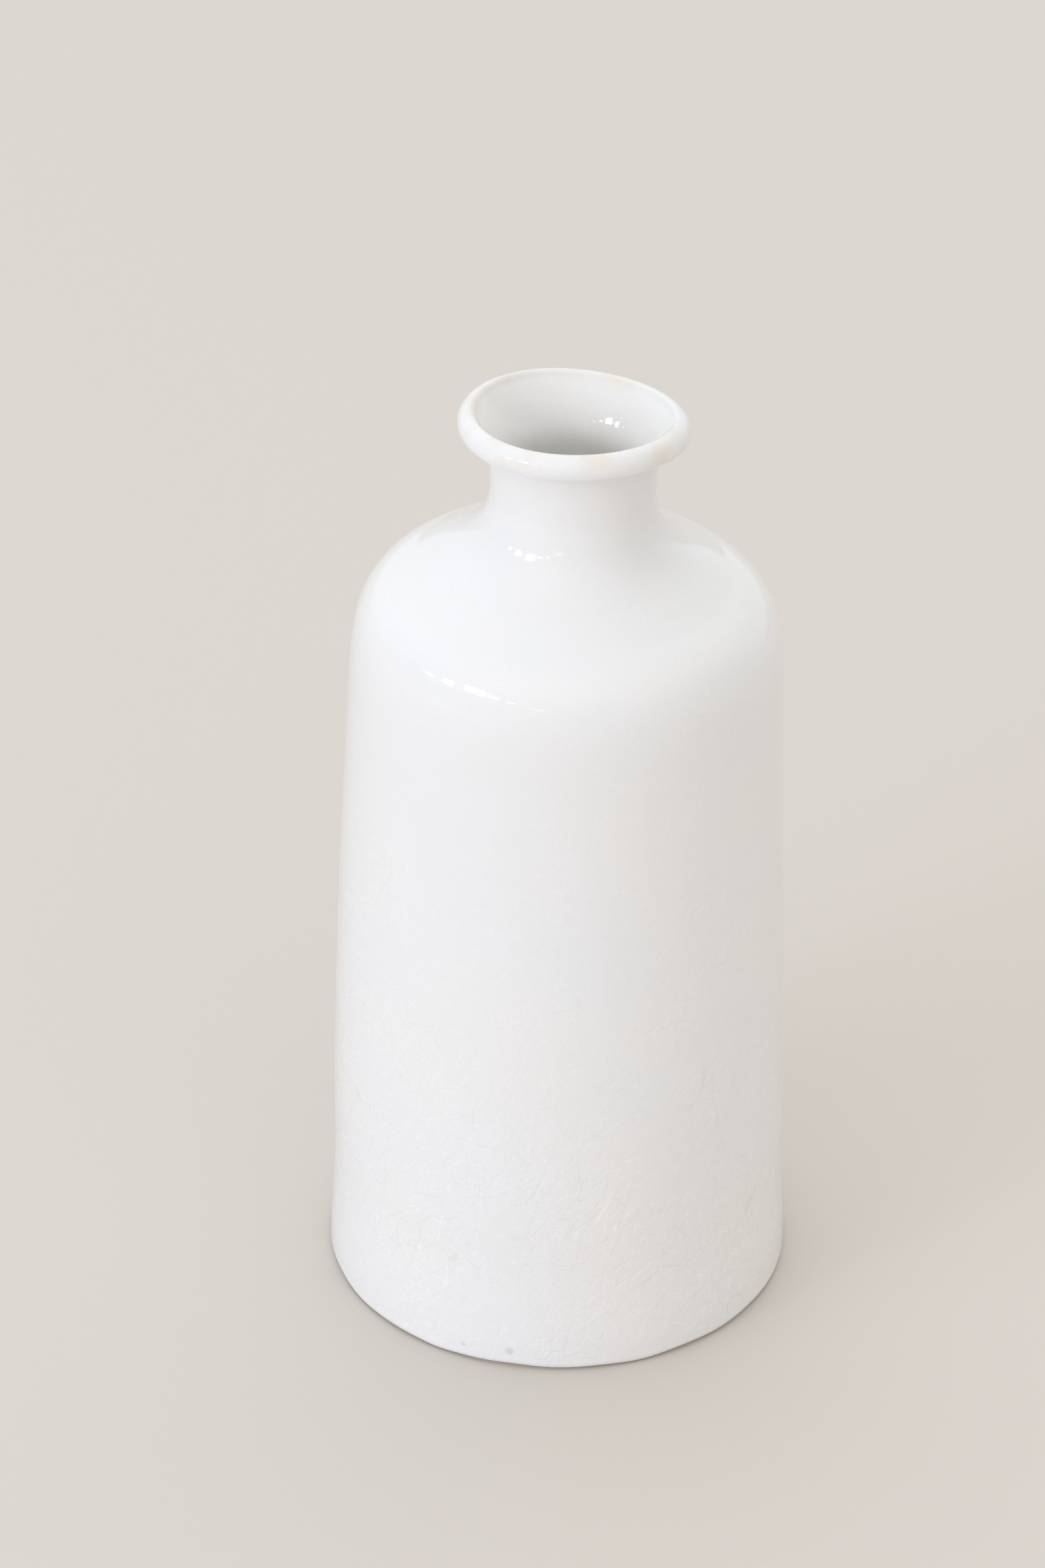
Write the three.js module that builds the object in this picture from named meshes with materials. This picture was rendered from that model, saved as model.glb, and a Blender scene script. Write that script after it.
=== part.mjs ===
// Ceramic bud vase: a bottle-shaped vase with a straight, slightly tapering body, a rounded shoulder,
// a short neck and a thick rolled lip. Millimetres, +Z up, the foot stands on z = 0 about the Z axis.
//
// Three separate bodies make the vase:
//   clay_body     the fired clay, from the foot ring and floor to the core of the lip
//   outer_glaze   the coat of glaze on the outside, from just above the foot to the crest of the lip
//   liner_glaze   the coat of glaze inside, from the crest of the lip down over the floor

import * as THREE from 'three';

// ---- driving dimensions ------------------------------------------------------------------------

// Outside, measured over the glaze: radius and height of each station from the foot to the lip.
const FOOT_RADIUS = 42.2;
const FOOT_ROUNDING = 1.6;
const WAIST_RADIUS = 41.2;
const WAIST_HEIGHT = 24;
const SHOULDER_RADIUS = 38.3;
const SHOULDER_HEIGHT = 122;
const CROWN_RADIUS = 28.5;
const CROWN_HEIGHT = 141.9;
const NECK_RADIUS = 14.3;
const NECK_HEIGHT = 157.5;
const LIP_RADIUS = 19.8;
const LIP_HEIGHT = 170.2;
const LIP_UNDERSIDE_RADIUS = 16.1;
const LIP_UNDERSIDE_HEIGHT = 167.7;
const CREST_RADIUS = 17.4;
const CREST_HEIGHT = 172.9;

// Inside, measured over the liner glaze.
const LIP_INNER_RADIUS = 16.5;
const LIP_INNER_HEIGHT = 171.9;
const THROAT_RADIUS = 11.2;
const THROAT_TOP = 161.5;
const THROAT_BOTTOM = 155.5;
const INNER_CROWN_RADIUS = 26.0;
const INNER_CROWN_HEIGHT = 139.4;
const INNER_SHOULDER_RADIUS = 35.0;
const INNER_SHOULDER_HEIGHT = 121;
const INNER_WALL_RADIUS = 37.8;
const INNER_WALL_BOTTOM = 16;
const FLOOR_RADIUS = 27;
const FLOOR_HEIGHT = 6.2;

// Underside: a low foot ring around a shallow recess.
const RECESS_DEPTH = 1.2;
const FOOT_RING_INNER_RADIUS = 33.6;
const FOOT_RING_BEVEL = 1.0;

// Glaze.
const GLAZE_THICKNESS = 0.4;
const GLAZE_GAP = 0.03;
const GLAZE_LINE_HEIGHT = 0.7;

// The vase was thrown by hand: the neck sits a little to one side, and the top leans the same way.
const NECK_OFFSET = 1.3;
const NECK_OFFSET_START = 75;
const NECK_OFFSET_END = 185;
const LEAN_SLOPE = 0.035;
const LEAN_START = 105;
const LEAN_END = 150;

// The lip was pressed out of true while the clay was soft: it is higher at the front (-Y), set back
// towards +Y, a little wider than deep, and twisted out of level across the diagonals.
const LIP_WARP_START = 150;
const LIP_WARP_END = 168;
const LIP_TILT = 0.044;
const LIP_SETBACK = 0.9;
const LIP_OVAL = 0.019;
const LIP_TWIST = 0.0024;

const SEGMENTS = 40;

// ---- outlines ----------------------------------------------------------------------------------

const point = (radius, height) => new THREE.Vector2(radius, height);

/** Points along a cubic Bezier curve, without its first point. */
function curve(start, control1, control2, end, steps) {
  return new THREE.CubicBezierCurve(start, control1, control2, end).getPoints(steps).slice(1);
}

/** Quarter-round at the bottom outer edge, from the flat of the foot up to the widest radius. */
function footRounding(steps) {
  const centre = point(FOOT_RADIUS - FOOT_ROUNDING, FOOT_ROUNDING);
  return Array.from({ length: steps + 1 }, (_, i) => {
    const angle = -Math.PI / 2 + (Math.PI / 2) * (i / steps);
    return point(
      centre.x + FOOT_ROUNDING * Math.cos(angle),
      centre.y + FOOT_ROUNDING * Math.sin(angle),
    );
  });
}

const foot = point(FOOT_RADIUS, FOOT_ROUNDING);
const waist = point(WAIST_RADIUS, WAIST_HEIGHT);
const shoulder = point(SHOULDER_RADIUS, SHOULDER_HEIGHT);
const crown = point(CROWN_RADIUS, CROWN_HEIGHT);
const neck = point(NECK_RADIUS, NECK_HEIGHT);
const lipUnderside = point(LIP_UNDERSIDE_RADIUS, LIP_UNDERSIDE_HEIGHT);
const lip = point(LIP_RADIUS, LIP_HEIGHT);
const crest = point(CREST_RADIUS, CREST_HEIGHT);

/** Outside of the vase over the glaze, from the flat of the foot up to the crest of the lip. */
const outside = [
  ...footRounding(3),
  ...curve(foot, point(42.25, 8), point(41.2, 13), waist, 2),
  ...curve(waist, point(41.4, 58), point(39.3, 92), shoulder, 3),
  ...curve(shoulder, point(38, 133), point(36.7, 138.4), crown, 5),
  ...curve(crown, point(21.8, 146.4), point(15.6, 148.8), neck, 5),
  ...curve(neck, point(14.1, 161), point(14.3, 166.6), lipUnderside, 2),
  ...curve(lipUnderside, point(17.7, 168.4), point(19.7, 168), lip, 3),
  ...curve(lip, point(19.9, 171.6), point(18.6, CREST_HEIGHT), crest, 3),
];

const lipInner = point(LIP_INNER_RADIUS, LIP_INNER_HEIGHT);
const throatTop = point(THROAT_RADIUS, THROAT_TOP);
const throatBottom = point(THROAT_RADIUS, THROAT_BOTTOM);
const innerCrown = point(INNER_CROWN_RADIUS, INNER_CROWN_HEIGHT);
const innerShoulder = point(INNER_SHOULDER_RADIUS, INNER_SHOULDER_HEIGHT);
const innerWall = point(INNER_WALL_RADIUS, INNER_WALL_BOTTOM);
const floorEdge = point(FLOOR_RADIUS, FLOOR_HEIGHT);

/** Inside of the vase over the liner glaze, from the crest of the lip down to the floor's centre. */
const inside = [
  crest,
  ...curve(crest, point(17, CREST_HEIGHT), point(16.8, 172.3), lipInner, 2),
  ...curve(lipInner, point(15.1, 170.3), point(THROAT_RADIUS, 166), throatTop, 3),
  throatBottom,
  ...curve(throatBottom, point(11.2, 147.5), point(17.5, 143.6), innerCrown, 4),
  ...curve(innerCrown, point(32.4, 136), point(34.8, 131), innerShoulder, 3),
  ...curve(innerShoulder, point(35.6, 92), point(37.8, 58), innerWall, 2),
  ...curve(innerWall, point(37.8, 9), point(34, FLOOR_HEIGHT), floorEdge, 3),
  point(0, FLOOR_HEIGHT),
];

/**
 * The same outline moved sideways into the clay. The clay lies to the left of an outline that runs
 * up the outside, over the crest and down the inside. The ends keep the direction of their one edge.
 */
function insetOutline(outline, distance) {
  return outline.map((here, i) => {
    const before = outline[Math.max(i - 1, 0)];
    const after = outline[Math.min(i + 1, outline.length - 1)];
    const edgeIn = here.clone().sub(before).normalize();
    const edgeOut = after.clone().sub(here).normalize();
    const along = edgeIn.add(edgeOut).normalize();
    return point(here.x - along.y * distance, here.y + along.x * distance);
  });
}

// The whole skin is one outline, so the coats and the clay under them share every station.
const skin = [...outside, ...inside.slice(1)];
const crestIndex = outside.length - 1;
const glazeStart = skin.findIndex((p) => p.y > GLAZE_LINE_HEIGHT);
const glazeBack = insetOutline(skin, GLAZE_THICKNESS);
const clayFace = insetOutline(skin, GLAZE_THICKNESS + GLAZE_GAP);
glazeBack[skin.length - 1].x = 0;
clayFace[skin.length - 1].x = 0;

const clayOutline = [
  point(0, RECESS_DEPTH),
  point(FOOT_RING_INNER_RADIUS, RECESS_DEPTH),
  point(FOOT_RING_INNER_RADIUS + FOOT_RING_BEVEL, 0),
  point(FOOT_RADIUS - FOOT_ROUNDING, 0),
  ...clayFace.slice(glazeStart),
];

const outerGlazeOutline = [
  ...skin.slice(glazeStart, crestIndex + 1),
  ...glazeBack.slice(glazeStart, crestIndex + 1).reverse(),
  skin[glazeStart],
];

// The liner starts a hair inside the crest, where it meets the outer coat.
const LINER_START = crestIndex + 1;
const linerGlazeOutline = [
  ...skin.slice(LINER_START),
  ...glazeBack.slice(LINER_START).reverse(),
  skin[LINER_START],
];

// ---- solids ------------------------------------------------------------------------------------

/**
 * Moves the neck sideways and lets the top lean, more and more from the shoulder to the lip, and
 * presses the lip out of true.
 */
function throwByHand(geometry) {
  const { smoothstep } = THREE.MathUtils;
  const position = geometry.getAttribute('position');
  for (let i = 0; i < position.count; i += 1) {
    const x = position.getX(i);
    const y = position.getY(i);
    const z = position.getZ(i);
    const shift = NECK_OFFSET * smoothstep(z, NECK_OFFSET_START, NECK_OFFSET_END);
    const lean = LEAN_SLOPE * smoothstep(z, LEAN_START, LEAN_END);
    const warp = smoothstep(z, LIP_WARP_START, LIP_WARP_END);
    position.setXYZ(
      i,
      x * (1 + LIP_OVAL * warp) + shift,
      y * (1 - LIP_OVAL * warp) + LIP_SETBACK * warp,
      z - lean * x - warp * (LIP_TILT * y + LIP_TWIST * x * y),
    );
  }
  geometry.computeVertexNormals();
}

/** Turns an outline about the Z axis. */
function turned(name, outline, material) {
  const geometry = new THREE.LatheGeometry(outline, SEGMENTS);
  geometry.rotateX(Math.PI / 2);
  throwByHand(geometry);
  const mesh = new THREE.Mesh(geometry, material);
  mesh.name = name;
  return mesh;
}

const bareClay = new THREE.MeshStandardMaterial({ color: '#d9d0c2', roughness: 0.85, metalness: 0 });
const whiteGlaze = new THREE.MeshStandardMaterial({ color: '#f1f0ee', roughness: 0.12, metalness: 0 });
const linerWhite = new THREE.MeshStandardMaterial({ color: '#eeece7', roughness: 0.14, metalness: 0 });

const vase = new THREE.Group();
vase.name = 'ceramic_bud_vase';
vase.add(turned('clay_body', clayOutline, bareClay));
vase.add(turned('outer_glaze', outerGlazeOutline, whiteGlaze));
vase.add(turned('liner_glaze', linerGlazeOutline, linerWhite));

export default vase;
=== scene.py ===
"""Ceramic bud vase: a bottle-shaped vase in white crackle glaze, on a plain pale floor in soft light.

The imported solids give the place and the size. Each one is replaced by a finely turned mesh with the
small irregularities of a hand-thrown pot, and by a procedural glaze or clay material.
"""

import math

import bpy
import numpy as np
from mathutils import Matrix, Vector, noise


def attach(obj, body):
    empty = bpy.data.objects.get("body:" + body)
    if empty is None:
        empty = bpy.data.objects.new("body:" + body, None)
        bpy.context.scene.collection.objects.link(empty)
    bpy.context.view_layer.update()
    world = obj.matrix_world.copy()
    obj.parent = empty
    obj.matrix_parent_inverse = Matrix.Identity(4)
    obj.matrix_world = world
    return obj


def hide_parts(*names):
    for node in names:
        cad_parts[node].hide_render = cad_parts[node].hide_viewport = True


MM = 0.001

# ---- the vase, in millimetres, as the solids have it ----------------------------------------------

FOOT_RADIUS = 42.2
FOOT_ROUNDING = 1.6
CREST_RADIUS = 17.4
CREST_HEIGHT = 172.9
THROAT_RADIUS = 11.2
FLOOR_HEIGHT = 6.2
RECESS_DEPTH = 1.2
FOOT_RING_INNER_RADIUS = 33.6
FOOT_RING_BEVEL = 1.0
FOOT_RING_MARGIN = 0.3
GLAZE_THICKNESS = 0.4
GLAZE_GAP = 0.03

# Each stretch of the outside, from the foot to the crest of the lip, as the two control points that
# lead to its end and the end itself: (radius, height).
OUTSIDE_STRETCHES = [
    [(42.25, 8), (41.2, 13), (41.2, 24)],
    [(41.4, 58), (39.3, 92), (38.3, 122)],
    [(38, 133), (36.7, 138.4), (28.5, 141.9)],
    [(21.8, 146.4), (15.6, 148.8), (14.3, 157.5)],
    [(14.1, 161), (14.3, 166.6), (16.1, 167.7)],
    [(17.7, 168.4), (19.7, 168), (19.8, 170.2)],
    [(19.9, 171.6), (18.6, CREST_HEIGHT), (CREST_RADIUS, CREST_HEIGHT)],
]

# The same for the inside, from the crest of the lip down to the middle of the floor.
INSIDE_STRETCHES = [
    [(17, CREST_HEIGHT), (16.8, 172.3), (16.5, 171.9)],
    [(15.1, 170.3), (THROAT_RADIUS, 166), (THROAT_RADIUS, 161.5)],
    [(THROAT_RADIUS, 159.5), (THROAT_RADIUS, 157.5), (THROAT_RADIUS, 155.5)],
    [(THROAT_RADIUS, 147.5), (17.5, 143.6), (26, 139.4)],
    [(32.4, 136), (34.8, 131), (35, 121)],
    [(35.6, 92), (37.8, 58), (37.8, 16)],
    [(37.8, 9), (34, FLOOR_HEIGHT), (27, FLOOR_HEIGHT)],
    [(18, FLOOR_HEIGHT), (9, FLOOR_HEIGHT), (0, FLOOR_HEIGHT)],
]

# The neck sits to one side, the top leans, and the lip was pressed out of true.
NECK_OFFSET = 1.3
NECK_OFFSET_START = 75
NECK_OFFSET_END = 185
LEAN_SLOPE = 0.035
LEAN_START = 105
LEAN_END = 150
LIP_WARP_START = 150
LIP_WARP_END = 168
LIP_TILT = 0.044
LIP_SETBACK = 0.9
LIP_OVAL = 0.019
LIP_TWIST = 0.0024

# ---- the surface of the glaze, in millimetres -----------------------------------------------------

# Soft swells, longer up the vase than around it.
SWELL_HEIGHT = 0.07
SWELL_SIZE = 30.0
SWELL_SQUASH = 0.6

# Throwing rings: one spiral that wanders in pitch and comes and goes.
RING_HEIGHT = 0.010
RING_PITCH = 6.5
RING_WANDER = 1.4
RING_WANDER_SIZE = 45
RING_MIDDLE = 0.5
RING_FADE_SIZE = 25

# Orange peel.
PEEL_HEIGHT = 0.016
PEEL_SIZE = 5.0
FINE_PEEL_HEIGHT = 0.004
FINE_PEEL_SIZE = 2.4

# Each layer of noise is read at a place of its own, so that no two layers line up.
PEEL_SHIFT = 300
RING_FADE_SHIFT = 500
FINE_PEEL_SHIFT = 700
GLAZE_EDGE_SHIFT = 900

# The lower edge of the glaze.
GLAZE_EDGE_HEIGHT = 0.7
GLAZE_EDGE_ROLL = 0.12
GLAZE_EDGE_ROLL_SIZE = 1.2
GLAZE_EDGE_WANDER = 0.45
GLAZE_EDGE_WANDER_SIZE = 9.0
GLAZE_EDGE_WANDER_REACH = 2.0
GLAZE_EDGE_WANDER_TOP = 3 * GLAZE_EDGE_WANDER_REACH

# The rings that the trimming tool left in the recess.
TRIM_RING_HEIGHT = 0.05
TRIM_RING_PITCH = 2.3

# Small pits near the foot: (azimuth in degrees from the front towards +X, height, radius, depth).
PITS = [(-11.3, 3.6, 0.75, 0.10), (-23.3, 3.1, 0.45, 0.08), (160.0, 5.5, 0.5, 0.09)]

# ---- meshes, in millimetres -----------------------------------------------------------------------

AROUND = 300
RECESS_ROWS = 90
BACK_STEP = 4.0

# Steps along the skin at each height: short at the foot and the lip, where the outline turns tightly.
STEP_HEIGHTS = [0, 2.5, 8, 118, 128, 150, 163, 167, 174]
STEP_SIZES = [0.28, 0.35, 1.3, 1.3, 1.0, 0.9, 0.8, 0.4, 0.35]

# A row nearer to the axis than this is a single point.
SMALLEST_RADIUS = 1e-6
SHARP_ANGLE = math.radians(50)

# ---- camera and stage, in metres ------------------------------------------------------------------

CAMERA_PLACE = Vector((0, -0.8379, 0.6152))
CAMERA_PITCH = math.radians(31.66)
CAMERA_YAW = math.radians(-0.49)
CAMERA_ROLL = math.radians(0.49)
CAMERA_LENS = 127.0
SENSOR = 36.0
FLOOR_SIZE = 14.0

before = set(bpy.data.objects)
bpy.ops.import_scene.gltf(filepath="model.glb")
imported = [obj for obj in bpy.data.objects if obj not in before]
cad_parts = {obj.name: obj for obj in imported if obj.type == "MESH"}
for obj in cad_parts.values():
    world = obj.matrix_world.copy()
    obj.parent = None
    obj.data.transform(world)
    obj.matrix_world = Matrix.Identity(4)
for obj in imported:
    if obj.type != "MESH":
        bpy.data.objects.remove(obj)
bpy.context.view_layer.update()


# ---- outlines -------------------------------------------------------------------------------------


def bezier(start, control1, control2, end, steps=64):
    """Points along a cubic Bezier curve, without its first point."""
    t = np.linspace(0, 1, steps + 1)[1:, None]
    a, b, c, d = (np.array(p, float) for p in (start, control1, control2, end))
    return (1 - t) ** 3 * a + 3 * (1 - t) ** 2 * t * b + 3 * (1 - t) * t**2 * c + t**3 * d


def through(start, stretches):
    """One outline through all the stretches of a list."""
    points = [np.array([start], float)]
    for control1, control2, end in stretches:
        points.append(bezier(points[-1][-1], control1, control2, end))
    return np.concatenate(points)


def foot_rounding(steps=24):
    """Quarter-round from the flat of the foot up to the widest radius."""
    angle = np.linspace(-math.pi / 2, 0, steps + 1)
    centre = np.array([FOOT_RADIUS - FOOT_ROUNDING, FOOT_ROUNDING])
    return centre + FOOT_ROUNDING * np.stack([np.cos(angle), np.sin(angle)], 1)


def lengths(outline):
    """How far along the outline each point is."""
    return np.concatenate([[0], np.cumsum(np.linalg.norm(np.diff(outline, axis=0), axis=1))])


def respaced(outline, step):
    """The outline with its points one step apart. The step is a number, or a function of a point."""
    along = lengths(outline)
    size = np.array([step(p) if callable(step) else step for p in outline], float)
    count = np.concatenate([[0], np.cumsum(np.diff(along) / ((size[1:] + size[:-1]) / 2))])
    even = np.linspace(0, count[-1], max(2, round(count[-1])) + 1)
    return np.stack([np.interp(even, count, outline[:, k]) for k in (0, 1)], 1)


def fine_step(point):
    """How far apart the rows of the skin are at a point of the outline."""
    return np.interp(point[1], STEP_HEIGHTS, STEP_SIZES)


def outward(outline):
    """Unit normals to the right of an outline: away from the clay on the skin of the vase."""
    along = np.gradient(outline, axis=0)
    along /= np.linalg.norm(along, axis=1)[:, None]
    return np.stack([along[:, 1], -along[:, 0]], 1)


ROUNDING = foot_rounding()
OUTSIDE = np.concatenate([ROUNDING, through(ROUNDING[-1], OUTSIDE_STRETCHES)[1:]])
INSIDE = through((CREST_RADIUS, CREST_HEIGHT), INSIDE_STRETCHES)


# ---- turning --------------------------------------------------------------------------------------


def smoothstep(value, low, high):
    """0 up to low, 1 from high on, and a smooth step between."""
    t = np.clip((value - low) / (high - low), 0, 1)
    return t * t * (3 - 2 * t)


def thrown(points):
    """The sideways neck, the lean of the top and the warp of the lip, as the solids have them."""
    x, y, z = points.T
    shift = NECK_OFFSET * smoothstep(z, NECK_OFFSET_START, NECK_OFFSET_END)
    lean = LEAN_SLOPE * smoothstep(z, LEAN_START, LEAN_END)
    warp = smoothstep(z, LIP_WARP_START, LIP_WARP_END)
    moved_x = x * (1 + LIP_OVAL * warp) + shift
    moved_y = y * (1 - LIP_OVAL * warp) + LIP_SETBACK * warp
    moved_z = z - lean * x - warp * (LIP_TILT * y + LIP_TWIST * x * y)
    return np.stack([moved_x, moved_y, moved_z], 1)


def lumps(point, size, shift=0.0):
    """Smooth noise from -1 to 1 with lumps of a size."""
    return noise.noise((point + Vector((shift, shift, 0))) / size)


def relief(points):
    """How far the glaze stands proud of the turned shape: swells, throwing rings and orange peel."""
    out = np.empty(len(points))
    for i, (x, y, z) in enumerate(points):
        p = Vector((x, y, z))
        swell = SWELL_HEIGHT * lumps(Vector((x, y, z * SWELL_SQUASH)), SWELL_SIZE)
        peel = PEEL_HEIGHT * lumps(p, PEEL_SIZE, PEEL_SHIFT)
        fine_peel = FINE_PEEL_HEIGHT * lumps(p, FINE_PEEL_SIZE, FINE_PEEL_SHIFT)
        wander = RING_WANDER * lumps(p, RING_WANDER_SIZE)
        turns = z / RING_PITCH + wander + math.atan2(y, x) / (2 * math.pi)
        strength = RING_MIDDLE + lumps(p, RING_FADE_SIZE, RING_FADE_SHIFT)
        ring = RING_HEIGHT * math.sin(2 * math.pi * turns) * strength
        out[i] = swell + (peel + fine_peel) + ring
    return out


def pit_centre(azimuth, height):
    """Where a pit is on the surface near the foot."""
    a = math.radians(azimuth)
    return FOOT_RADIUS * math.sin(a), -FOOT_RADIUS * math.cos(a), height


def pits(points):
    """How deep the pits are at each point."""
    deep = np.zeros(len(points))
    for azimuth, height, radius, depth in PITS:
        reach = np.linalg.norm(points - np.array(pit_centre(azimuth, height)), axis=1) / radius
        deep += depth * np.exp(-(reach**2))
    return deep


def edge_roll(points):
    """The roll along the lower edge of the glaze, where it drew up from the bare foot."""
    z = points[:, 2]
    return GLAZE_EDGE_ROLL * np.exp(-(((z - GLAZE_EDGE_HEIGHT) / GLAZE_EDGE_ROLL_SIZE) ** 2))


def edge_wander(points):
    """How far the lower edge of the glaze wanders up and down around the foot."""
    level = np.array(
        [lumps(Vector((x, y, 0)), GLAZE_EDGE_WANDER_SIZE, GLAZE_EDGE_SHIFT) for x, y, _ in points]
    )
    fade = np.exp(-((points[:, 2] / GLAZE_EDGE_WANDER_REACH) ** 2))
    return GLAZE_EDGE_WANDER * level * fade


def ring_of(count):
    """Unit vectors once around, counter-clockwise from +X."""
    angle = np.linspace(0, 2 * math.pi, count, endpoint=False)
    return np.stack([np.cos(angle), np.sin(angle)], 1)


def turned(name, rows, wandering_edge=False):
    """A closed piece turned about Z through rows of (radius, height, normal).

    The glaze's relief moves a row along its normal. A row whose normal is None stays plain.
    """
    spokes = ring_of(AROUND)
    verts, firsts = [], []
    for radius, height, normal in rows:
        firsts.append(sum(len(v) for v in verts))
        if radius < SMALLEST_RADIUS:
            verts.append(np.array([[0.0, 0.0, height]]))
            continue
        ring = np.column_stack([spokes * radius, np.full(AROUND, height)])
        if normal is not None:
            way = np.column_stack([spokes * normal[0], np.full(AROUND, normal[1])])
            proud = relief(ring) - pits(ring) + edge_roll(ring)
            ring = ring + way * proud[:, None]
        if wandering_edge and height < GLAZE_EDGE_WANDER_TOP:
            ring[:, 2] += edge_wander(ring)
        verts.append(ring)
    here = np.arange(AROUND)
    after = (here + 1) % AROUND
    faces = []
    for i, first in enumerate(firsts):
        j = (i + 1) % len(rows)
        second = firsts[j]
        if len(verts[i]) > 1 and len(verts[j]) > 1:
            corners = [first + here, first + after, second + after, second + here]
        elif len(verts[j]) > 1:
            corners = [np.full(AROUND, first), second + after, second + here]
        elif len(verts[i]) > 1:
            corners = [first + here, first + after, np.full(AROUND, second)]
        else:
            continue
        faces += np.stack(corners, 1).tolist()
    mesh = bpy.data.meshes.new(name)
    mesh.from_pydata((thrown(np.concatenate(verts)) * MM).tolist(), [], faces)
    mesh.shade_smooth()
    mesh.set_sharp_from_angle(angle=SHARP_ANGLE)
    piece = bpy.data.objects.new(name, mesh)
    bpy.context.scene.collection.objects.link(piece)
    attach(piece, "root")
    return piece


def skin_rows(outline):
    """Rows on the skin of the vase, with the relief of the glaze."""
    return [(r, z, tuple(n)) for (r, z), n in zip(outline, outward(outline))]


def inset_rows(outline, inset):
    """Plain rows along an outline moved into the clay."""
    place = outline - outward(outline) * inset
    return [(max(r, 0.0), z, None) for r, z in place]


# ---- pieces ---------------------------------------------------------------------------------------

glazed = OUTSIDE[OUTSIDE[:, 1] > GLAZE_EDGE_HEIGHT]
glazed_back = respaced(glazed, BACK_STEP)
outer = turned(
    "vase_glaze_outer",
    skin_rows(respaced(glazed, fine_step)) + inset_rows(glazed_back, GLAZE_THICKNESS)[::-1],
    wandering_edge=True,
)
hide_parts("outer_glaze")

inside_back = respaced(INSIDE, BACK_STEP)
liner = turned(
    "vase_glaze_liner",
    skin_rows(respaced(INSIDE, fine_step)) + inset_rows(inside_back, GLAZE_THICKNESS)[::-1],
)
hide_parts("liner_glaze")

# The recess under the foot keeps the fine rings of the trimming tool.
recess_radii = np.linspace(0, FOOT_RING_INNER_RADIUS, RECESS_ROWS)
recess_rings = TRIM_RING_HEIGHT * np.sin(2 * math.pi * recess_radii / TRIM_RING_PITCH)
underside = [(r, RECESS_DEPTH + ring) for r, ring in zip(recess_radii, recess_rings)]
ring_start = FOOT_RING_INNER_RADIUS + FOOT_RING_BEVEL
ring_end = FOOT_RADIUS - FOOT_ROUNDING
ring_edges = (ring_start, ring_start + FOOT_RING_MARGIN, ring_end - FOOT_RING_MARGIN, ring_end)
underside += [(r, 0) for r in ring_edges]
clay_inset = GLAZE_THICKNESS + GLAZE_GAP
clay_rows = [(r, z, None) for r, z in underside]
clay_rows += inset_rows(glazed_back, clay_inset) + inset_rows(inside_back, clay_inset)[1:]
clay = turned("vase_clay", clay_rows)
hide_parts("clay_body")


# ---- materials ------------------------------------------------------------------------------------

# Lengths named here are in millimetres unless they say otherwise. A ramp is the input where it starts
# and the input where it ends, then the output at each, which is 0 and 1 where none is given.

# Crackle: the size of the cells and the width of the cracks between them.
LONG_CRACKS = (4.2, 0.10)
FINE_CRACKS = (1.2, 0.09)
NET_CRACKS = (1.15, 0.08)
NET_STRENGTH = 0.5
CRACK_CORE = 0.35
CRACK_REACH = 1.4

# How the cracks bend and climb: the bends per metre, how far they bend in metres, the turn about Z in
# radians per metre of height, and the stretch of the pattern up the vase.
BEND_SCALE = 55.0
BEND_DISTANCE = 0.009
CLIMB = -13.0
STRETCH = (1, 1, 0.38)

# Where the crackle shows: by height in metres, and in patches.
CRACKLE_BY_HEIGHT = (0.02, 0.14, 1.0, 0.25)
CRACKLE_PATCH_SIZE = 24
CRACKLE_PATCHES = (0.35, 0.65, 0.5, 1.0)
CRACK_PALE = (1.0, 0.995, 0.98)
CRACK_STAIN = (0.50, 0.44, 0.37)
CRACK_STAIN_STRENGTH = 0.14

# Pinholes: a few of the cells of a pattern have a dot in the middle.
PINHOLE_SCALE = 95.0
PINHOLE_DOT = (0.012, 0.03, 1.0, 0.0)
PINHOLE_CHOICE = 0.86
PINHOLE_COLOUR = (0.36, 0.31, 0.25)
PINHOLE_STRENGTH = 0.6

# Soft clouds of warmer white, grey in and round the pits, and cream where the glaze is thin on the
# lip.
CLOUD_SIZE = 34
CLOUD_DETAIL = 3.0
CLOUDS = (0.35, 0.65)
PIT_COLOUR = (0.56, 0.54, 0.51)
PIT_GREY_START = 0.5
PIT_GREY_END = 1.5
PIT_GREY_STRENGTH = 0.45
THIN_BY_HEIGHT = (0.1665, 0.1735)
THIN_PATCH_SIZE = 7.0
THIN_PATCHES = (0.48, 0.7)
THIN_COLOUR = (0.85, 0.81, 0.735)

# Gloss and bump of the glaze.
GLOSS_PATCH_SIZE = 9.0
GLOSS_ROUGHNESS = (0.3, 0.7, 0.055, 0.11)
CRACK_ROUGHNESS = 0.10
PINHOLE_ROUGHNESS = 0.35
PEEL_BUMP = 0.007
PEEL_BUMP_SIZE = 1.6
PEEL_BUMP_DETAIL = 1.0
CRACK_BUMP = 0.006
GLAZE_IOR = 1.52
GLAZE_COAT = 0.35
GLAZE_COAT_ROUGHNESS = 0.03

# The two coats: their cooler and warmer white, and how strongly the pale net of cracks shows.
OUTER_WHITES = ((0.868, 0.874, 0.876), (0.880, 0.874, 0.858))
OUTER_CRACKLE = 0.5
LINER_WHITES = ((0.872, 0.868, 0.856), (0.876, 0.860, 0.828))
LINER_CRACKLE = 0.4

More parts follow.
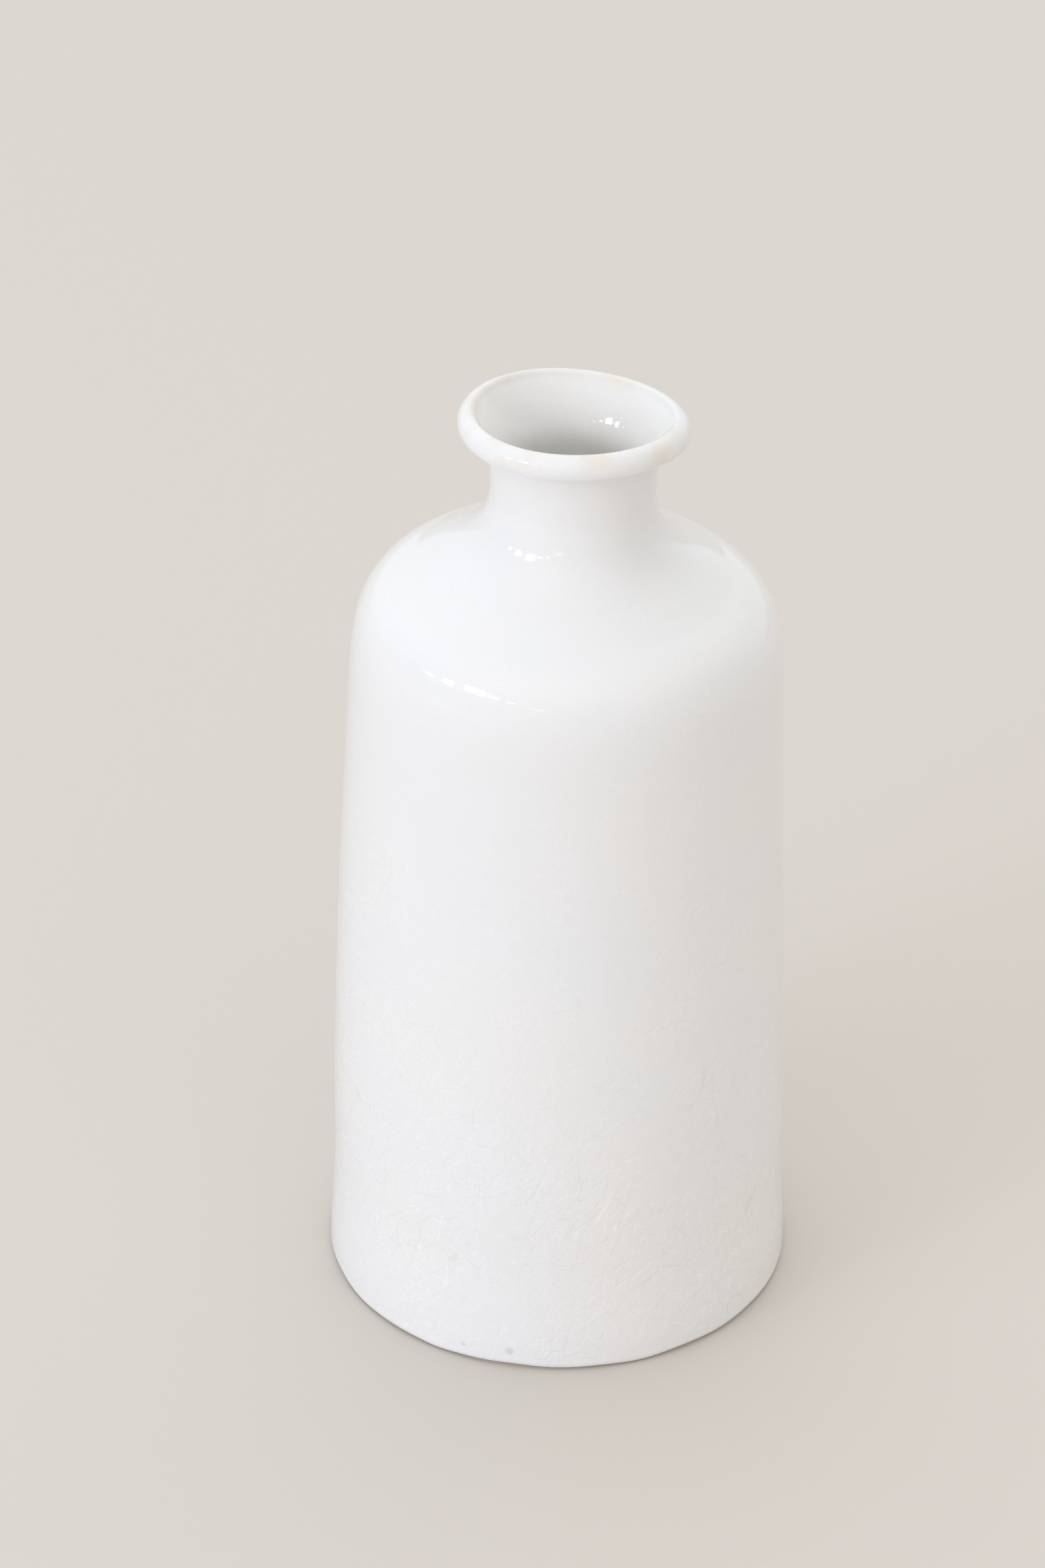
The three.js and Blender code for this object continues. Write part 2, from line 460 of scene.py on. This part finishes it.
# Bare clay: buff mottle, grit, and a few iron specks.
CLAY_DARK = (0.63, 0.565, 0.475)
CLAY_LIGHT = (0.74, 0.685, 0.60)
MOTTLE_SIZE = 6.0
MOTTLE_DETAIL = 4.0
MOTTLE = (0.3, 0.7)
GRIT_SIZE = 0.5
GRIT_DETAIL = 3.0
GRIT_SHARPNESS = 0.7
GRIT = (0.35, 0.75, 0.0, 0.35)
GRIT_COLOUR = (0.50, 0.44, 0.36)
GRIT_ROUGHNESS = (0.3, 0.7, 0.78, 0.95)
GRIT_BUMP = 0.06
SPECK_SCALE = 420.0
SPECK_DOT = (0.10, 0.2, 1.0, 0.0)
SPECK_CHOICE = 0.82
SPECK_COLOUR = (0.22, 0.15, 0.10)
SPECK_STRENGTH = 0.6

# The Mix node has one set of sockets for each kind of data. These are the ones for colours.
MIX_COLOUR_A = 6
MIX_COLOUR_B = 7
MIX_COLOUR_RESULT = 2
NOISE_MIDDLE = (0.5, 0.5, 0.5)


def add(tree, kind, inputs=None, **settings):
    """One node, with its settings, and its inputs given as values or as sockets to link from."""
    made = tree.nodes.new(kind)
    for key, value in settings.items():
        setattr(made, key, value)
    for key, value in (inputs or {}).items():
        if isinstance(value, bpy.types.NodeSocket):
            tree.links.new(value, made.inputs[key])
        else:
            made.inputs[key].default_value = value
    return made


def new_material(name):
    """A material with its tree and its shader."""
    material = bpy.data.materials.new(name)
    material.use_nodes = True
    tree = material.node_tree
    return material, tree, tree.nodes["Principled BSDF"]


def maths(tree, operation, a, b, clamp=False):
    """One sum on two values, kept from 0 to 1 where it is clamped."""
    inputs = {0: a, 1: b}
    return add(tree, "ShaderNodeMath", inputs, operation=operation, use_clamp=clamp).outputs[0]


def remap(tree, value, low, high, to_low=0.0, to_high=1.0):
    """A smooth ramp from to_low at low to to_high at high."""
    inputs = {
        "Value": value,
        "From Min": low,
        "From Max": high,
        "To Min": to_low,
        "To Max": to_high,
    }
    return add(tree, "ShaderNodeMapRange", inputs, interpolation_type="SMOOTHSTEP").outputs[0]


def blend(tree, factor, a, b):
    """Colour a where the factor is 0, b where it is 1."""
    made = add(tree, "ShaderNodeMix", {0: factor}, data_type="RGBA")
    for socket, value in ((MIX_COLOUR_A, a), (MIX_COLOUR_B, b)):
        if isinstance(value, bpy.types.NodeSocket):
            tree.links.new(value, made.inputs[socket])
        else:
            made.inputs[socket].default_value = (*value, 1)
    return made.outputs[MIX_COLOUR_RESULT]


def grain(tree, place, size_mm, detail=2.0, rough=0.5):
    """Noise from 0 to 1 with lumps of a size."""
    scale = 1 / (size_mm * MM)
    inputs = {"Vector": place, "Scale": scale, "Detail": detail, "Roughness": rough}
    return add(tree, "ShaderNodeTexNoise", inputs).outputs["Fac"]


def cracks(tree, place, cell_mm, width_mm):
    """1 along the cracks between cells of a size, 0 elsewhere."""
    scale = 1 / (cell_mm * MM)
    inputs = {"Vector": place, "Scale": scale}
    cells = add(tree, "ShaderNodeTexVoronoi", inputs, feature="DISTANCE_TO_EDGE")
    edge = width_mm / cell_mm / 2
    return remap(tree, cells.outputs["Distance"], edge * CRACK_CORE, edge * CRACK_REACH, 1.0, 0.0)


def dots(tree, place, scale, dot_ramp, choice):
    """1 in the middle of the few cells that are chosen, 0 elsewhere."""
    cells = add(tree, "ShaderNodeTexVoronoi", {"Vector": place, "Scale": scale})
    dot = remap(tree, cells.outputs["Distance"], *dot_ramp)
    chance = add(tree, "ShaderNodeSeparateColor", {0: cells.outputs["Color"]}).outputs[0]
    return maths(tree, "MULTIPLY", dot, maths(tree, "GREATER_THAN", chance, choice))


def bump(tree, height_mm, level, under=None):
    """A bumped normal from a level of 0 to 1, over the normal of a bump under it if there is one."""
    inputs = {"Strength": 1.0, "Distance": height_mm * MM, "Height": level}
    if under:
        inputs["Normal"] = under
    return add(tree, "ShaderNodeBump", inputs).outputs[0]


def glaze_material(name, whites, crackle):
    """Glossy white glaze: fine crackle, soft clouds, pinholes, a thin cream lip, orange peel."""
    material, tree, shader = new_material(name)
    place = add(tree, "ShaderNodeTexCoord").outputs["Object"]
    height = add(tree, "ShaderNodeSeparateXYZ", {0: place}).outputs["Z"]

    # Long hairline cracks climb round the vase to the right, with a net of small cells between them.
    noise_inputs = {"Vector": place, "Scale": BEND_SCALE, "Detail": 1.0}
    bend = add(tree, "ShaderNodeTexNoise", noise_inputs).outputs["Color"]
    bend = add(tree, "ShaderNodeVectorMath", {0: bend, 1: NOISE_MIDDLE}, operation="SUBTRACT")
    bend = add(
        tree,
        "ShaderNodeVectorMath",
        {0: bend.outputs[0], "Scale": BEND_DISTANCE},
        operation="SCALE",
    )
    curved = add(tree, "ShaderNodeVectorMath", {0: place, 1: bend.outputs[0]}).outputs[0]
    turn = maths(tree, "MULTIPLY", height, CLIMB)
    climbing = add(
        tree, "ShaderNodeVectorRotate", {"Vector": curved, "Angle": turn}, rotation_type="Z_AXIS"
    ).outputs[0]
    stretched = add(
        tree, "ShaderNodeVectorMath", {0: climbing, 1: STRETCH}, operation="MULTIPLY"
    ).outputs[0]
    long_cracks = cracks(tree, stretched, *LONG_CRACKS)
    fine_cracks = cracks(tree, stretched, *FINE_CRACKS)
    net_cracks = cracks(tree, curved, *NET_CRACKS)

    # The crackle shows most low on the body, and comes and goes in patches.
    low_down = remap(tree, height, *CRACKLE_BY_HEIGHT)
    patch = remap(tree, grain(tree, place, CRACKLE_PATCH_SIZE), *CRACKLE_PATCHES)
    seen = maths(tree, "MULTIPLY", low_down, patch)
    faint_net = maths(tree, "MULTIPLY", net_cracks, NET_STRENGTH)
    net_seen = maths(tree, "MULTIPLY", maths(tree, "MAXIMUM", faint_net, fine_cracks), seen)
    long_seen = maths(tree, "MULTIPLY", long_cracks, seen)
    crack = maths(tree, "MAXIMUM", net_seen, long_seen)
    pinhole = dots(tree, place, PINHOLE_SCALE, PINHOLE_DOT, PINHOLE_CHOICE)

    # Clouds first, then the grey in and round the pits, the thin glaze on the lip, the cracks and
    # pinholes.
    cloud = remap(tree, grain(tree, place, CLOUD_SIZE, CLOUD_DETAIL), *CLOUDS)
    colour = blend(tree, cloud, *whites)
    # Each pit turns greyer towards its middle.
    for azimuth, level, radius, _ in PITS:
        centre = tuple(v * MM for v in pit_centre(azimuth, level))
        away = add(tree, "ShaderNodeVectorMath", {0: place, 1: centre}, operation="DISTANCE")
        start, end = radius * PIT_GREY_START * MM, radius * PIT_GREY_END * MM
        pit_grey = remap(tree, away.outputs["Value"], start, end, PIT_GREY_STRENGTH, 0.0)
        colour = blend(tree, pit_grey, colour, PIT_COLOUR)
    on_lip = remap(tree, height, *THIN_BY_HEIGHT)
    thin_patch = remap(tree, grain(tree, place, THIN_PATCH_SIZE), *THIN_PATCHES)
    thinned = maths(tree, "MULTIPLY", on_lip, thin_patch, clamp=True)
    colour = blend(tree, thinned, colour, THIN_COLOUR)
    for mask, strength, tint in (
        (net_seen, crackle, CRACK_PALE),
        (long_seen, CRACK_STAIN_STRENGTH, CRACK_STAIN),
        (pinhole, PINHOLE_STRENGTH, PINHOLE_COLOUR),
    ):
        colour = blend(tree, maths(tree, "MULTIPLY", mask, strength), colour, tint)
    tree.links.new(colour, shader.inputs["Base Color"])

    rough = remap(tree, grain(tree, place, GLOSS_PATCH_SIZE), *GLOSS_ROUGHNESS)
    for mask, more in ((crack, CRACK_ROUGHNESS), (pinhole, PINHOLE_ROUGHNESS)):
        rough = maths(tree, "ADD", rough, maths(tree, "MULTIPLY", mask, more))
    tree.links.new(rough, shader.inputs["Roughness"])

    skin = grain(tree, place, PEEL_BUMP_SIZE, PEEL_BUMP_DETAIL)
    peel = bump(tree, PEEL_BUMP, skin)
    groove = maths(tree, "SUBTRACT", 1.0, maths(tree, "MAXIMUM", crack, pinhole))
    tree.links.new(bump(tree, CRACK_BUMP, groove, peel), shader.inputs["Normal"])
    shader.inputs["IOR"].default_value = GLAZE_IOR
    shader.inputs["Coat Weight"].default_value = GLAZE_COAT
    shader.inputs["Coat Roughness"].default_value = GLAZE_COAT_ROUGHNESS
    return material


def clay_material(name):
    """Bare fired clay: buff, matte and gritty, with a few iron specks."""
    material, tree, shader = new_material(name)
    place = add(tree, "ShaderNodeTexCoord").outputs["Object"]
    mottle = remap(tree, grain(tree, place, MOTTLE_SIZE, MOTTLE_DETAIL), *MOTTLE)
    colour = blend(tree, mottle, CLAY_DARK, CLAY_LIGHT)
    grit = grain(tree, place, GRIT_SIZE, GRIT_DETAIL, GRIT_SHARPNESS)
    colour = blend(tree, remap(tree, grit, *GRIT), colour, GRIT_COLOUR)
    speck = dots(tree, place, SPECK_SCALE, SPECK_DOT, SPECK_CHOICE)
    colour = blend(tree, maths(tree, "MULTIPLY", speck, SPECK_STRENGTH), colour, SPECK_COLOUR)
    tree.links.new(colour, shader.inputs["Base Color"])
    tree.links.new(remap(tree, grit, *GRIT_ROUGHNESS), shader.inputs["Roughness"])
    tree.links.new(bump(tree, GRIT_BUMP, grit), shader.inputs["Normal"])
    return material


outer.data.materials.append(glaze_material("white_glaze", OUTER_WHITES, OUTER_CRACKLE))
liner.data.materials.append(glaze_material("liner_glaze", LINER_WHITES, LINER_CRACKLE))
clay.data.materials.append(clay_material("fired_clay"))

# ---- stage, light and camera ----------------------------------------------------------------------

FLOOR_COLOUR = (0.70, 0.655, 0.60, 1)
FLOOR_ROUGHNESS = 0.6

half = FLOOR_SIZE / 2
corners = [(-half, -half, 0), (half, -half, 0), (half, half, 0), (-half, half, 0)]
floor_mesh = bpy.data.meshes.new("floor")
floor_mesh.from_pydata(corners, [], [(0, 1, 2, 3)])
floor = bpy.data.objects.new("floor", floor_mesh)
floor_material, _, floor_shader = new_material("pale_floor")
floor_shader.inputs["Base Color"].default_value = FLOOR_COLOUR
floor_shader.inputs["Roughness"].default_value = FLOOR_ROUGHNESS
floor_mesh.materials.append(floor_material)
bpy.context.scene.collection.objects.link(floor)

# Soft light of the room. Each part is where it comes from, the cosines between which it fades in, and
# its colour. No cosine is as low as the first part's, so that part comes evenly from everywhere.
ROOM_LIGHT = [
    ((0, 0, 1), (-3, -2), (0.502, 0.492, 0.484)),
    ((0, 0, 1), (0.2, 1.0), (0.320, 0.330, 0.330)),
    ((0.85, -0.10, 0.30), (0.0, 1.0), (0.045, 0.036, 0.028)),
    ((0, -0.95, 0.30), (0.0, 1.0), (0.285, 0.270, 0.277)),
    ((0, 0.95, 0.30), (0.0, 1.0), (0.410, 0.440, 0.460)),
]

# What the camera sees behind the floor. It lights nothing.
BACKDROP = (0.72, 0.70, 0.68)


def add_room():
    """World light that changes smoothly with direction, with a plain backdrop behind the floor."""
    world = bpy.data.worlds.new("soft_room")
    world.use_nodes = True
    tree = world.node_tree
    way = add(tree, "ShaderNodeTexCoord").outputs["Generated"]
    total = None
    for source, (low, high), colour in ROOM_LIGHT:
        towards = tuple(Vector(source).normalized())
        cosine = add(tree, "ShaderNodeVectorMath", {0: way, 1: towards}, operation="DOT_PRODUCT")
        weight = remap(tree, cosine.outputs["Value"], low, high)
        inputs = {0: colour, "Scale": weight}
        part = add(tree, "ShaderNodeVectorMath", inputs, operation="SCALE").outputs[0]
        if total:
            part = add(tree, "ShaderNodeVectorMath", {0: total, 1: part}).outputs[0]
        total = part
    background = tree.nodes["Background"]
    to_camera = add(tree, "ShaderNodeLightPath").outputs["Is Camera Ray"]
    tree.links.new(blend(tree, to_camera, total, BACKDROP), background.inputs["Color"])
    bpy.context.scene.world = world


LIGHT_TARGET = Vector((0, 0, 0.1))

# Bright panes of the window, which the gloss shows as small highlights. Each one is its azimuth and
# elevation, its width and height, all in degrees as the vase sees it, and its radiance.
WINDOW_PANES = [
    (-51, 26, 9, 7, 11),
    (-66, 22, 6, 6, 6),
    (-78, 18, 4, 3, 5),
    (-39, 25.5, 5, 2, 7),
    (-29, 24, 4, 1.6, 5),
    (-15, 20, 8, 1.2, 3),
]
PANE_DISTANCE = 3.0
PANE_COLOUR = (0.94, 0.97, 1.0)

# The wide low light from the left. The photo has no reflection of it, so it is kept out of the gloss.
SOFT_LIGHT = {
    "azimuth": -55,
    "elevation": 12,
    "distance": 4.5,
    "width": 3.375,
    "height": 1.875,
    "power": 52.7,
    "colour": (0.64, 0.75, 1.0),
}


def area_light(name, azimuth, elevation, distance, width, height, power, colour):
    """A rectangle that faces the vase. Azimuth 0 is towards the camera and +90 is +X, in degrees."""
    a, e = math.radians(azimuth), math.radians(elevation)
    out = Vector((math.sin(a) * math.cos(e), -math.cos(a) * math.cos(e), math.sin(e)))
    data = bpy.data.lights.new(name, "AREA")
    data.shape = "RECTANGLE"
    data.size = width
    data.size_y = height
    data.energy = power
    data.color = colour
    light = bpy.data.objects.new(name, data)
    light.location = LIGHT_TARGET + out * distance
    light.rotation_euler = out.to_track_quat("Z", "Y").to_euler()
    bpy.context.scene.collection.objects.link(light)
    return light


def add_window():
    """The panes of the window, each as bright as it says."""
    for i, (azimuth, elevation, wide, tall, radiance) in enumerate(WINDOW_PANES):
        width = 2 * PANE_DISTANCE * math.tan(math.radians(wide / 2))
        height = 2 * PANE_DISTANCE * math.tan(math.radians(tall / 2))
        power = radiance * math.pi * width * height
        place = (azimuth, elevation, PANE_DISTANCE)
        area_light(f"pane_{i}", *place, width, height, power, PANE_COLOUR)


add_room()
add_window()
soft = area_light("soft_low", **SOFT_LIGHT)
soft.visible_glossy = False


def add_camera():
    """The camera of the photograph: pitched down, with a little yaw and roll."""
    cy, sy = math.cos(CAMERA_YAW), math.sin(CAMERA_YAW)
    cp, sp = math.cos(CAMERA_PITCH), math.sin(CAMERA_PITCH)
    forward = Vector((sy * cp, cy * cp, -sp))
    level = Vector((cy, -sy, 0))
    above = level.cross(forward)
    right = level * math.cos(CAMERA_ROLL) + above * math.sin(CAMERA_ROLL)
    up = above * math.cos(CAMERA_ROLL) - level * math.sin(CAMERA_ROLL)
    data = bpy.data.cameras.new("camera")
    data.lens = CAMERA_LENS
    data.sensor_width = SENSOR
    holder = bpy.data.objects.new("camera", data)
    turn = Matrix((right, up, -forward)).transposed()
    holder.matrix_world = Matrix.Translation(CAMERA_PLACE) @ turn.to_4x4()
    bpy.context.scene.collection.objects.link(holder)
    bpy.context.scene.camera = holder


add_camera()
bpy.context.scene.view_settings.view_transform = "Standard"
